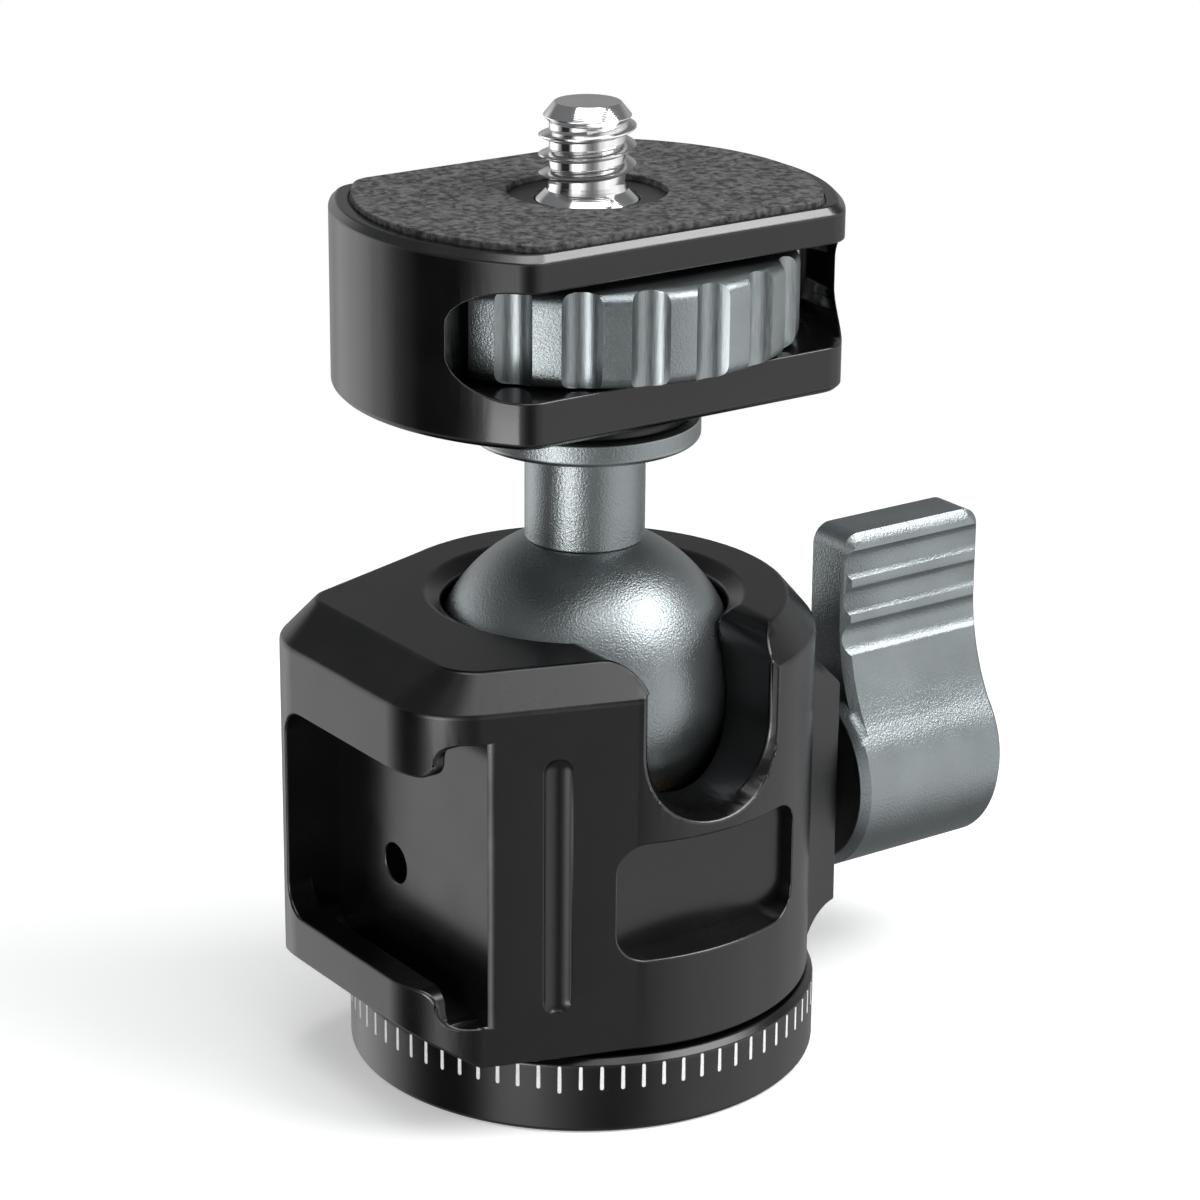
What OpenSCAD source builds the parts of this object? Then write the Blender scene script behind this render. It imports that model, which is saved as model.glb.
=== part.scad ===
// Small tripod ball head: a graduated panning base, a notched housing with a cold shoe,
// a ball clamped by a side lever, and a camera plate whose screw is turned by a thumb wheel.
// +Z is up and the origin is the middle of the base's underside, on the ball's axis.
// -Y is the notch side, -X carries the cold shoe and +X carries the lever.

/* [Base] */
// Radius of the graduated base ring
base_r = 16.05; // [15.6:0.05:17]
// Height of the base ring
base_h = 5.3; // [5:0.1:6.5]
// Chamfer round the ring's top edge
base_top_ch = 0.45; // [0.2:0.05:0.8]
// Chamfer round the ring's foot
base_foot_ch = 0.25; // [0.1:0.05:0.5]
// Gap between the ring and the housing, filled by the glide washer
pan_gap = 0.4; // [0.3:0.05:0.6]
// Radius of the spigot that the housing pans on
spigot_r = 7; // [6.8:0.05:7.4]
// Outer radius of the threaded steel bush
bush_r = 3.9; // [3.7:0.05:4]
// Radius of the bush's thread crests, for a quarter-inch screw
thread_minor_r = 2.6; // [2.55:0.01:2.65]
// Radius of the quarter-inch camera thread
thread_major_r = 3.175; // [3.1:0.025:3.2]

/* [Pan bearing] */
// Radius of the bearing plug screwed into the housing from below
plug_r = 12; // [11.6:0.1:12.4]
// Thickness of the bearing plug
plug_h = 2.6; // [2.2:0.1:3]
// Thickness of the pan washer under the retainer
pan_washer_h = 0.3; // [0.2:0.05:0.5]
// Radius of the retainer disc
retainer_r = 9.6; // [9:0.1:10]
// Thickness of the retainer disc
retainer_h = 1.3; // [1.1:0.1:1.6]
// Number of retainer screws
retainer_screws_n = 3; // [2:1:4]
// Shank radius of a retainer screw
retainer_screw_r = 1; // [0.8:0.1:1.1]
// Head radius of a retainer screw
retainer_head_r = 1.6; // [1.4:0.1:1.8]

/* [Housing] */
// Radius of the round side of the housing
body_r = 15.6; // [15.4:0.05:16]
// Height of the ball's centre above the housing's underside
ball_rise = 20.9; // [20.5:0.1:22]
// Height of the top face above the ball's centre
rim_rise = 5.9; // [5.5:0.1:6.2]
// Width of the chamfer round the top
top_ch_w = 1.95; // [1.5:0.05:2.2]
// Drop of the chamfer round the top
top_ch_h = 2.3; // [1.8:0.1:2.6]
// Radius of the mouth that holds the ball in
mouth_r = 9.64; // [9.4:0.02:9.8]
// Width of the mouth's chamfer
mouth_ch = 1.1; // [0.8:0.1:1.4]
// Drop of the mouth's chamfer
mouth_ch_h = 0.7; // [0.5:0.1:0.9]
// Half width of the notch for upright shots
notch_r = 4.9; // [4.4:0.05:5]
// Distance of the notch's arc centre below the ball's centre
notch_drop = 0.2; // [0:0.1:0.5]
// Width of the bevel along the notch's sides
notch_ch = 0.45; // [0.3:0.05:0.8]
// Rounding where the notch meets the top face
notch_round = 2.05; // [1.5:0.05:2.4]

/* [Cold shoe] */
// Distance of the shoe's face from the ball's axis
shoe_face = 19.3; // [18.8:0.1:20]
// Angle at which the block's sides run in to the face
shoe_taper = 18.5; // [16:0.5:20]
// Corner radius of the block at the shoe's open end
shoe_front_r = 6; // [5:0.5:6.5]
// Corner radius of the block at the shoe's closed end
shoe_rear_r = 5.4; // [3:0.1:5.6]
// Width of the block's chamfer over the face
shoe_ch_w = 3.1; // [2.5:0.1:3.3]
// Rise of the slope under the face
shoe_slope_h = 2.25; // [1.5:0.05:2.6]
// Width of the foot's channel
shoe_channel = 19; // [18.7:0.1:19.2]
// Depth of the foot's channel behind the lips
shoe_depth = 2.05; // [2:0.05:2.3]
// Thickness of the lips
shoe_lip = 2.1; // [1.9:0.1:2.4]
// Gap between the lips
shoe_gap = 14.8; // [14.4:0.1:15.4]
// Flare of the shoe's open end on each side
shoe_flare = 0.35; // [0.2:0.05:0.5]
// Height of the shoe's middle above the housing's underside
shoe_mid = 12.7; // [12.4:0.1:13]
// Distance from the ball's axis plane to the shoe's closed end
shoe_stop = 7.3; // [7:0.1:7.6]
// Height of the detent hole above the housing's underside
detent_z = 10.4; // [10:0.1:11]
// Radius of the detent hole in the shoe's seat
detent_r = 1.3; // [1:0.1:1.5]
// Depth of the detent hole
detent_h = 3; // [2:0.1:3.4]

/* [Housing pockets] */
// Width of the front pocket
pocket_w = 14.6; // [13:0.1:15]
// Height of the front pocket
pocket_h = 8.2; // [7:0.1:8.6]
// Height of the pocket's middle above the housing's underside
pocket_mid = 10.45; // [10:0.05:11]
// Offset of the pocket's middle towards the lever
pocket_x = 0.3; // [0:0.1:0.5]
// Corner radius of the front pocket
pocket_r = 2; // [1.5:0.1:2.5]
// Distance of the pocket's floor from the ball's axis
pocket_floor = 12.7; // [12.5:0.1:13.2]
// Radius of the upright finger groove
groove_r = 1.35; // [1.1:0.05:1.5]
// Length of the upright finger groove
groove_l = 18.6; // [15:0.2:19]
// Height of the groove's middle above the housing's underside
groove_mid = 12.2; // [11.8:0.1:12.8]
// Depth of the upright finger groove
groove_d = 0.5; // [0.3:0.05:0.8]

/* [Ball and stem] */
// Radius of the ball
ball_r = 10.46; // [10.4:0.02:10.5]
// Clearance of the ball in its socket
socket_gap = 0.14; // [0.1:0.02:0.2]
// Radius of the neck
neck_r = 4.03; // [3.9:0.01:4.1]
// Distance from the ball's centre to the flange
neck_l = 16.7; // [16.5:0.1:18]
// Radius of the flange under the plate
flange_r = 7.67; // [7:0.05:8]
// Thickness of the flange
flange_h = 1.55; // [1.3:0.05:2]
// Radius of the tapped hole down the stem
stem_hole_r = 2.5; // [2.2:0.1:2.7]

/* [Clamp] */
// Distance of the lever's axis below the ball's centre
clamp_drop = 11.4; // [11.2:0.1:11.6]
// Radius of the clamp stud
stud_r = 3; // [2.8:0.05:3.1]
// Travel of the stud between locked and open
clamp_travel = 0.28; // [0.2:0.02:0.34]
// Distance of the boss face from the ball's axis
boss_face = 17.6; // [17.4:0.1:18]
// Half width of the boss at its face
boss_w = 5.9; // [5.5:0.1:6.2]
// Distance of the boss face's top edge below the ball's centre
boss_top_drop = 2.7; // [2.4:0.1:3.5]
// Radius of the cove under the boss
cove_r = 3.4; // [2.8:0.1:3.8]
// Distance of the cove's centre below the housing's underside
cove_sink = 1.6; // [1.2:0.1:2]
// Height of the ball seat's rim below the ball's centre
seat_rim_drop = 6; // [5.6:0.1:6.4]

/* [Lever] */
// Radius of the lever's hub
hub_r = 7.25; // [6.9:0.05:7.4]
// Distance of the hub's inner face from the ball's axis
hub_x0 = 19.05; // [18.8:0.05:19.6]
// Length of the hub
hub_l = 12.8; // [12.6:0.1:13.2]
// Chamfer round the hub's ends
hub_ch = 0.55; // [0.4:0.05:0.8]
// Height of the handle above the lever's axis
handle_h = 18.2; // [17.4:0.1:19]
// Distance from the axis plane to the handle's front face
handle_front = 3.65; // [3.4:0.05:4]
// Distance from the axis plane to the handle's back face
handle_back = 0.1; // [0.05:0.05:0.8]
// Width of the handle
handle_w = 12.2; // [11:0.1:12.2]
// Number of grip grooves
grip_n = 3; // [2:1:3]
// Radius of a grip groove
grip_r = 1.7; // [1.5:0.05:1.9]
// Depth of a grip groove
grip_d = 0.38; // [0.24:0.02:0.42]
// Distance between grip grooves
grip_pitch = 2.65; // [2.55:0.05:2.8]

/* [Camera plate] */
// Radius of the plate's round ends
plate_r = 16.75; // [16.5:0.05:17.2]
// Half width of the plate across its flats
plate_flat = 11.6; // [11.4:0.1:12]
// Corner rounding where the ends meet the flats
plate_round = 2.2; // [1.5:0.1:3]
// Height of the plate
plate_h = 12.4; // [12.1:0.05:13]
// Chamfer round the plate's top
plate_top_ch = 0.5; // [0.3:0.05:0.7]
// Chamfer round the plate's underside
plate_foot_ch = 0.35; // [0.2:0.05:0.6]
// Radius of the boss under the plate
plate_boss_r = 7; // [6.6:0.1:7.4]
// Height of the boss under the plate
plate_boss_h = 2.2; // [2:0.1:2.8]
// Thickness of the plate's floor under the wheel
plate_floor = 3.1; // [2.9:0.1:3.4]
// Height of the wheel's window
window_h = 6.9; // [6.8:0.1:7.2]
// Half width of the front window
window_front = 15.3; // [15:0.1:15.6]
// Distance of the windows' back wall from the plate's middle plane
window_back = 3.8; // [3.4:0.1:4.5]
// Half width of the rear window
window_rear = 11; // [10:0.1:11.4]
// Corner radius of the windows
window_round = 2.5; // [2:0.1:3]
// Thickness of the non-slip pad
pad_h = 0.5; // [0.45:0.05:0.8]
// Margin of plate outside the pad's round ends
pad_end_margin = 1.45; // [1.3:0.05:1.7]
// Margin of plate along the pad's flat sides
pad_side_margin = 0.85; // [0.8:0.05:1.1]
// Height of the pad above the plate's rim
pad_proud = 0.37; // [0.2:0.01:0.4]
// Radius of the hole in the pad
pad_hole_r = 5.26; // [5:0.02:5.6]

/* [Thumb wheel and camera screw] */
// Radius of the wheel over its lands
wheel_r = 14; // [13.6:0.1:14.2]
// Height of the wheel
wheel_h = 6.2; // [6:0.1:6.4]
// Number of finger flutes round the wheel
flutes_n = 20; // [16:1:24]
// Radius of a flute
flute_r = 1.42; // [1.2:0.02:1.6]
// Depth of a flute
flute_d = 0.85; // [0.6:0.05:1]
// Chamfer round the wheel's top and bottom
wheel_ch = 1.05; // [0.6:0.05:1.2]
// Height of the camera screw above the pad
screw_up = 5.8; // [4.5:0.1:6.5]
// Radius of the screw's shoulder in the plate
shoulder_r = 3.4; // [3.3:0.05:3.7]

/* [Fits] */
// Radial clearance of a shaft that turns or slides in its bore
run_gap = 0.05; // [0.03:0.01:0.08]
// Clearance between faces that slide past each other
face_gap = 0.1; // [0.06:0.02:0.16]

/* [Small features] */
// Depth of the recess in the hub's inner face
recess_d = 1.2; // [0.8:0.1:1.6]
// Thickness of the washer at the bottom of that recess
lever_washer_h = 0.7; // [0.4:0.1:0.9]
// Distance of the stud's full cone inside the seat's bore
stud_setback = 1; // [0.8:0.1:1.4]
// Radius of the stud's blunt tip
stud_tip_r = 0.3; // [0.2:0.05:0.5]
// Length of the stud inside the hub
stud_in_hub = 6.65; // [6:0.05:7.2]
// Shank radius of the lever's screw
lever_screw_r = 1.5; // [1.2:0.1:1.7]
// Length of that screw's shank
lever_screw_l = 5.2; // [4.5:0.1:6]
// Head radius of the lever's screw
lever_head_r = 2.8; // [2.4:0.1:3.2]
// Head height of the lever's screw
lever_head_h = 2.25; // [1.8:0.05:2.4]
// Thickness of the web between the stud's end and that head
lever_web = 2.1; // [1.6:0.1:2.3]
// Radius of the blend from hub to handle at the front
front_blend_r = 15; // [12:0.5:18]
// Radius of the blend from hub to handle at the back
back_blend_r = 5; // [4:0.1:6]
// Chamfer along the handle's front edges
handle_ch = 0.55; // [0.4:0.05:0.6]
// Corner radius of the handle's top
handle_corner = 1.4; // [1.2:0.1:2]
// Distance from the handle's top to the first grip groove
grip_start = 2.15; // [2:0.05:2.4]
// Head radius of the plate's screw
plate_head_r = 4.5; // [4:0.1:5]
// Straight rim of the plate screw's head
plate_head_rim = 0.3; // [0.2:0.05:0.5]
// Length of the plate's screw
plate_screw_l = 11.2; // [10:0.1:12.5]
// Depth of the tapped hole down the stem
stem_hole_l = 11.3; // [11:0.1:14]
// Chamfer at the camera screw's tip
screw_tip_ch = 1; // [0.6:0.05:1.2]
// Room between the wheel and its chamber
wheel_room = 0.6; // [0.4:0.05:0.8]
// Straight rim of the small countersunk heads
small_head_rim = 0.15; // [0.1:0.05:0.3]
// Length of a retainer screw
retainer_screw_l = 6.5; // [5.5:0.1:7.5]

/* [Hidden] */
$fn = 96;
hull_fn = 48;
plate_fn = 144;
arc_steps = 10;
// Overrun of every cut past the faces that it opens
over = 1;
// How far the block's sides run inside the round body
sink = 0.03;
// Angle round the front corner at which the lips end, in degrees
lip_end_turn = 25;
// Where the boss leaves the round body and the finger groove sits, as shares of the body's radius
boss_root_share = 0.5;
groove_share = 0.4;
// Hexagon sockets and chamfers, as shares of the piece that they are cut in
socket_share = 0.5;
edge_share = 0.16;
// Where the neck begins inside the ball, as a share of the ball's radius
neck_root_share = 0.8;

// Heights, from the base upwards
housing_z = base_h + pan_gap;
plug_top = housing_z + plug_h;
retainer_z = plug_top + pan_washer_h + run_gap;
retainer_top = retainer_z + retainer_h;
ball_z = housing_z + ball_rise;
top_z = ball_z + rim_rise;
clamp_z = ball_z - clamp_drop;
shoe_z = housing_z + shoe_mid;
flange_z = ball_z + neck_l;
boss_z = flange_z + flange_h + run_gap;
plate_z = boss_z + plate_boss_h;
window_z = plate_z + plate_floor;
plate_top = plate_z + plate_h;
pad_top = plate_top + pad_proud;
wheel_z = window_z + face_gap;
screw_circle = (bush_r + spigot_r) / 2;

// Radii that follow a mating part
socket_r = ball_r + socket_gap;
bore_r = socket_r + run_gap;

// Places along the lever's axis
cone_x = bore_r - stud_r - stud_setback;
stud_x0 = cone_x + stud_tip_r;
stud_x1 = hub_x0 + stud_in_hub;
lever_head_x = stud_x1 + face_gap + lever_web;
lever_hole_x = lever_head_x - lever_screw_l - face_gap;
recess_r = hub_r - hub_ch - face_gap;

// The block's corner circles: each touches the face and the side that runs in to it
function side_y(x, inset) = (body_r - sink - inset - x * sin(shoe_taper)) / cos(shoe_taper);
function ring_points(r, a0, a1, steps) =
    [for (i = [0 : steps]) let (a = a0 + (a1 - a0) * i / steps) [r * cos(a), r * sin(a)]];

// A flat ring between two radii
module washer(r_in, r_out, z, h) {
    translate([0, 0, z]) difference() {
        cylinder(r = r_out, h = h);
        translate([0, 0, -over]) cylinder(r = r_in, h = h + 2 * over);
    }
}

// A countersunk screw with its head's face at z = 0, pointing down
module countersunk(head_r, shank_r, l, rim) {
    rotate_extrude() polygon([[0, 0], [head_r, 0], [head_r, -rim],
        [shank_r, -rim - head_r + shank_r], [shank_r, -l], [0, -l]]);
}

module retainer_screw_places() {
    for (i = [0 : retainer_screws_n - 1])
        rotate([0, 0, i * 360 / retainer_screws_n])
            translate([screw_circle, 0, retainer_top]) children();
}

// Turned aluminium ring that stands on the tripod, with the spigot that the housing pans on
module base_ring() {
    color([0.06, 0.06, 0.065]) difference() {
        rotate_extrude() polygon([[bush_r, 0], [base_r - base_foot_ch, 0], [base_r, base_foot_ch],
            [base_r, base_h - base_top_ch], [base_r - base_top_ch, base_h], [spigot_r, base_h],
            [spigot_r, retainer_z], [bush_r, retainer_z]]);
        retainer_screw_places()
            translate([0, 0, -retainer_screw_l - run_gap])
                cylinder(r = retainer_screw_r + run_gap, h = retainer_screw_l + over);
    }
}

// Steel bush that takes the tripod's screw
module base_thread_bush() {
    color([0.62, 0.62, 0.64]) washer(thread_minor_r, bush_r, 0, base_h);
}

// Slippery washer between the ring and the housing
module glide_washer() {
    color([0.02, 0.02, 0.02]) washer(spigot_r + face_gap, plug_r + over, base_h, pan_gap - face_gap);
}

// Disc that keeps the housing on the spigot
module pan_retainer() {
    color([0.6, 0.6, 0.62]) difference() {
        washer(thread_major_r + face_gap, retainer_r, retainer_z, retainer_h);
        retainer_screw_places() countersunk(retainer_head_r + run_gap, retainer_screw_r + run_gap,
            retainer_h + over, small_head_rim);
    }
}

module retainer_screws() {
    color([0.25, 0.25, 0.26]) retainer_screw_places()
        countersunk(retainer_head_r, retainer_screw_r, retainer_screw_l, small_head_rim);
}

// Round side of the body with its top chamfer
module round_body() {
    rotate_extrude() polygon([[0, housing_z], [body_r, housing_z], [body_r, top_z - top_ch_h],
        [body_r - top_ch_w, top_z], [0, top_z]]);
}

// One corner post of the shoe block, chamfered above
module corner_post(r, side) {
    cy = side_y(shoe_face - r, r);
    high_r = r - shoe_ch_w;
    inner_y = side_y(shoe_face - r, top_ch_w + high_r);
    translate([-(shoe_face - r), side * cy, housing_z])
        cylinder(r = r, h = top_z - housing_z - top_ch_h, $fn = hull_fn);
    translate([-(shoe_face - r), side * inner_y, housing_z])
        cylinder(r = high_r, h = top_z - housing_z, $fn = hull_fn);
}

// Block that carries the shoe: its sides leave the round body and run in to the face
module shoe_block() {
    root_x = (body_r - sink) * sin(shoe_taper);
    root_y = (body_r - sink) * cos(shoe_taper);
    root_in = (body_r - sink - top_ch_w) / (body_r - sink);
    difference() {
        hull() {
            corner_post(shoe_front_r, -1);
            corner_post(shoe_rear_r, 1);
            translate([0, 0, housing_z]) linear_extrude(top_z - housing_z - top_ch_h)
                polygon([[-root_x, -root_y], [0, 0], [-root_x, root_y]]);
            translate([0, 0, housing_z]) linear_extrude(top_z - housing_z)
                polygon([[-root_x * root_in, -root_y * root_in], [0, 0],
                    [-root_x * root_in, root_y * root_in]]);
        }
        rotate([90, 0, 0]) linear_extrude(3 * body_r, center = true)
            polygon([[-body_r - face_gap, housing_z - over], [-body_r - face_gap, housing_z],
                [-shoe_face, housing_z + shoe_slope_h], [-shoe_face - over, housing_z + shoe_slope_h],
                [-shoe_face - over, housing_z - over]]);
    }
}

// Flat-faced boss that the clamp stud is screwed through
module clamp_boss() {
    root_x = body_r * boss_root_share;
    foot = boss_w + (boss_face - root_x) * tan(shoe_taper);
    face_top = ball_z - boss_top_drop;
    rise = top_z - top_ch_h - face_top;
    cove_x = boss_face - run_gap * 4;
    turn = asin(cove_sink / cove_r);
    cove_z = housing_z - cove_sink;
    cove = [for (p = ring_points(cove_r, 180 - turn, 90, arc_steps)) [cove_x + p[0], cove_z + p[1]]];
    difference() {
        hull() {
            translate([0, 0, housing_z]) linear_extrude(face_top - housing_z)
                polygon([[root_x, -foot], [boss_face, -boss_w], [boss_face, boss_w], [root_x, foot]]);
            translate([0, 0, face_top]) linear_extrude(rise)
                polygon([[root_x, -foot], [boss_face - rise, -boss_w], [boss_face - rise, boss_w],
                    [root_x, foot]]);
        }
        rotate([90, 0, 0]) linear_extrude(3 * body_r, center = true)
            polygon(concat(cove, [[boss_face + over, cove_z + cove_r],
                [boss_face + over, housing_z - over], [cove[0][0], housing_z - over]]));
    }
}

// Everything that the ball, its seat and the bearing plug need inside the body
module ball_chamber() {
    translate([0, 0, housing_z - over]) cylinder(r = plug_r + run_gap, h = plug_h + over);
    translate([0, 0, housing_z]) cylinder(r = bore_r, h = ball_rise);
    translate([0, 0, ball_z]) sphere(r = socket_r);
    translate([0, 0, ball_z]) cylinder(r = mouth_r, h = rim_rise + over);
    translate([0, 0, top_z - mouth_ch_h]) cylinder(r1 = mouth_r, r2 = mouth_r + mouth_ch, h = mouth_ch_h);
    translate([0, 0, top_z]) cylinder(r = mouth_r + mouth_ch, h = over);
}

// Notch that lets the neck lie down for upright shots, rounded where it meets the top face
module notch() {
    arc_z = ball_z - notch_drop;
    wall = top_z - notch_round;
    left = [for (p = ring_points(notch_round, 0, 90, arc_steps))
        [-(notch_r + notch_round) + p[0], wall + p[1]]];
    right = [for (p = ring_points(notch_round, 90, 180, arc_steps))
        [notch_r + notch_round + p[0], wall + p[1]]];
    translate([0, 0, arc_z]) rotate([90, 0, 0]) cylinder(r = notch_r, h = body_r + over);
    rotate([90, 0, 0]) linear_extrude(body_r + over)
        polygon(concat([[-notch_r, arc_z]], left, [[-(notch_r + notch_round), top_z + over],
            [notch_r + notch_round, top_z + over]], right, [[notch_r, arc_z]]));
}

// Bevel along the notch's outer edge, from a slice inside the wall to one outside it
module notch_bevel() {
    arc_z = ball_z - notch_drop;
    inner_y = sqrt(pow(body_r, 2) - pow(notch_r + notch_ch, 2)) - notch_ch;
    reach = body_r + face_gap - inner_y;
    hull() {
        translate([0, -inner_y, arc_z]) rotate([90, 0, 0]) linear_extrude(face_gap)
            notch_slice(notch_r, notch_r);
        translate([0, -inner_y - reach, arc_z]) rotate([90, 0, 0]) linear_extrude(face_gap)
            notch_slice(notch_r + reach, notch_r + notch_ch);
    }
}

module notch_slice(half_w, low_r) {
    scale([half_w / low_r, 1, 1]) circle(r = low_r, $fn = hull_fn);
    translate([-half_w, 0, 0]) square([2 * half_w, rim_rise + notch_drop - notch_round]);
}

// Cold shoe: the foot's channel, the gap between the lips, the open front end where the lips
// are cut back to the channel's width, and the detent hole in the seat
module cold_shoe() {
    seat_x = shoe_face - shoe_lip - shoe_depth;
    lip_y = side_y(shoe_face - shoe_front_r, shoe_front_r) + shoe_front_r * sin(lip_end_turn);
    end_r = shoe_depth + face_gap;
    translate([-shoe_face + shoe_lip, shoe_stop, shoe_z]) rotate([0, 90, 0])
        linear_extrude(shoe_depth) channel_outline(shoe_channel / 2, end_r);
    translate([-shoe_face - over, shoe_stop, shoe_z]) rotate([0, 90, 0])
        linear_extrude(shoe_lip + over) channel_outline(shoe_gap / 2, shoe_depth + face_gap);
    translate([-shoe_face - over, -lip_y, shoe_z]) rotate([0, 90, 0])
        linear_extrude(shoe_lip + shoe_depth + over) mouth_outline();
    translate([-seat_x - over, 0, housing_z + detent_z]) rotate([0, 90, 0])
        cylinder(r = detent_r, h = detent_h + over);
}

// Outline that ends at y = 0 with two round corners and runs out of the body's front
module channel_outline(half_w, r) {
    far = body_r + shoe_stop;
    translate([-half_w, -far]) square([2 * half_w, far - r]);
    translate([-half_w + r, -far]) square([2 * (half_w - r), far]);
    for (s = [-1, 1]) translate([s * (half_w - r), -r]) circle(r = r);
}

// Mouth outline: an S-curve leads each lip out to the channel's wall
module mouth_outline() {
    far = shoe_channel / 2 + shoe_flare;
    r = (far - shoe_gap / 2) / 2;
    mid = shoe_gap / 2 + r;
    tip = [for (p = ring_points(r, 180, 270, arc_steps)) [mid + p[0], p[1]]];
    neck = [for (p = ring_points(r, 90, 0, arc_steps)) [mid + p[0], p[1] - 2 * r]];
    for (s = [-1, 1]) scale([s, 1])
        polygon(concat([[0, 0]], tip, neck, [[far, -body_r], [0, -body_r]]));
}

// Shallow pocket with a flat floor in the front
module front_pocket() {
    translate([pocket_x, -pocket_floor, housing_z + pocket_mid]) rotate([90, 0, 0]) linear_extrude(body_r)
        rounded_rect(pocket_w, pocket_h, pocket_r);
}

module rounded_rect(w, h, r) {
    square([w, h - 2 * r], center = true);
    square([w - 2 * r, h], center = true);
    for (x = [-1, 1], y = [-1, 1]) translate([x * (w / 2 - r), y * (h / 2 - r)]) circle(r = r);
}

// Upright finger groove in the block's front side
module finger_groove() {
    along = body_r * groove_share;
    half = groove_l / 2 - groove_r;
    rotate([0, 0, -shoe_taper]) translate([-along, -body_r - groove_r + groove_d, housing_z + groove_mid]) {
        cylinder(r = groove_r, h = 2 * half, center = true);
        for (s = [-1, 1]) translate([0, 0, s * half]) sphere(r = groove_r);
    }
}

module housing() {
    color([0.07, 0.07, 0.075]) difference() {
        union() {
            round_body();
            shoe_block();
            clamp_boss();
        }
        ball_chamber();
        notch();
        notch_bevel();
        cold_shoe();
        front_pocket();
        finger_groove();
        translate([ball_r / 2, 0, clamp_z]) rotate([0, 90, 0]) cylinder(r = stud_r + run_gap, h = boss_face);
    }
}

// Plug screwed into the body from below, which runs on the spigot
module bearing_plug() {
    color([0.75, 0.6, 0.3]) washer(spigot_r + run_gap, plug_r, housing_z, plug_h);
}

module pan_washer() {
    color([0.85, 0.85, 0.82]) washer(spigot_r + face_gap, retainer_r - face_gap, plug_top, pan_washer_h);
}

// Cup under the ball; the stud's cone lifts it against the ball
module ball_seat() {
    seat_z = retainer_top + clamp_travel + face_gap;
    color([0.78, 0.62, 0.32]) difference() {
        translate([0, 0, seat_z]) cylinder(r = socket_r - face_gap, h = ball_z - seat_rim_drop - seat_z);
        translate([0, 0, ball_z]) sphere(r = ball_r + run_gap);
        translate([0, 0, seat_z - over]) cylinder(r = stud_r + run_gap, h = ball_r);
        translate([cone_x - face_gap, 0, clamp_z]) rotate([0, 90, 0])
            cylinder(r1 = face_gap, r2 = bore_r - cone_x + face_gap, h = bore_r - cone_x);
    }
}

// Threaded stud with a cone that bears under the seat; the lever is pinned on its outer end
module clamp_stud() {
    color([0.3, 0.3, 0.31]) translate([0, 0, clamp_z]) rotate([0, 90, 0]) rotate_extrude()
        polygon([[0, stud_x0], [stud_tip_r, stud_x0], [stud_r, cone_x + stud_r], [stud_r, stud_x1],
            [lever_screw_r + run_gap, stud_x1], [lever_screw_r + run_gap, lever_hole_x],
            [0, lever_hole_x]]);
}

// The lever's outline seen along its axis: a handle that flows into the hub on both sides
function blend_h(reach, r) = sqrt(pow(hub_r + r, 2) - pow(reach + r, 2));

module handle_outline() {
    hf = blend_h(handle_front, front_blend_r);
    hb = blend_h(handle_back, back_blend_r);
    af = atan2(hf, handle_front + front_blend_r);
    ab = atan2(hb, handle_back + back_blend_r);
    front = [for (p = ring_points(front_blend_r, 0, -af, arc_steps))
        [-(handle_front + front_blend_r) + p[0], hf + p[1]]];
    back = [for (p = ring_points(back_blend_r, 180 + ab, 180, arc_steps))
        [handle_back + back_blend_r + p[0], hb + p[1]]];
    polygon(concat([[-handle_front, handle_h]], front,
        [[0, 0]], back, [[handle_back, handle_h]]));
}

module handle_face() {
    square([handle_w, handle_h - handle_corner]);
    translate([handle_corner, 0]) square([handle_w - 2 * handle_corner, handle_h]);
    for (x = [handle_corner, handle_w - handle_corner])
        translate([x, handle_h - handle_corner]) circle(r = handle_corner);
}

module edge_wedge() {
    polygon([[-handle_ch, -handle_ch], [2 * handle_ch, -handle_ch], [-handle_ch, 2 * handle_ch]]);
}

// The chamfer runs up both sides of the front, round the top corners and along the top
module handle_chamfer() {
    hf = blend_h(handle_front, front_blend_r);
    turn = atan2(hf, handle_front + front_blend_r);
    corner_h = handle_h - handle_corner;
    for (side = [0, 1]) translate([side * handle_w, 0, 0]) mirror([side, 0, 0]) {
        translate([0, -handle_front, hf]) linear_extrude(corner_h - hf) edge_wedge();
        translate([0, -handle_front - front_blend_r, hf]) rotate([0, 90, 0]) rotate([0, 0, 90 - turn])
            rotate_extrude(angle = turn) translate([front_blend_r, 0]) edge_wedge();
        translate([handle_corner, -handle_front, corner_h]) rotate([90, 0, 0]) rotate([0, 0, 90])
            rotate_extrude(angle = 90) translate([handle_corner, 0]) rotate(180) edge_wedge();
    }
    translate([handle_corner, -handle_front, handle_h]) rotate([90, 0, 90])
        linear_extrude(handle_w - 2 * handle_corner) mirror([0, 1]) edge_wedge();
}

module handle() {
    translate([hub_x0 + hub_ch, 0, clamp_z]) difference() {
        intersection() {
            rotate([90, 0, 90]) linear_extrude(handle_w) handle_outline();
            translate([0, hub_r, 0]) rotate([90, 0, 0]) linear_extrude(2 * hub_r) handle_face();
        }
        handle_chamfer();
    }
}

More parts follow.
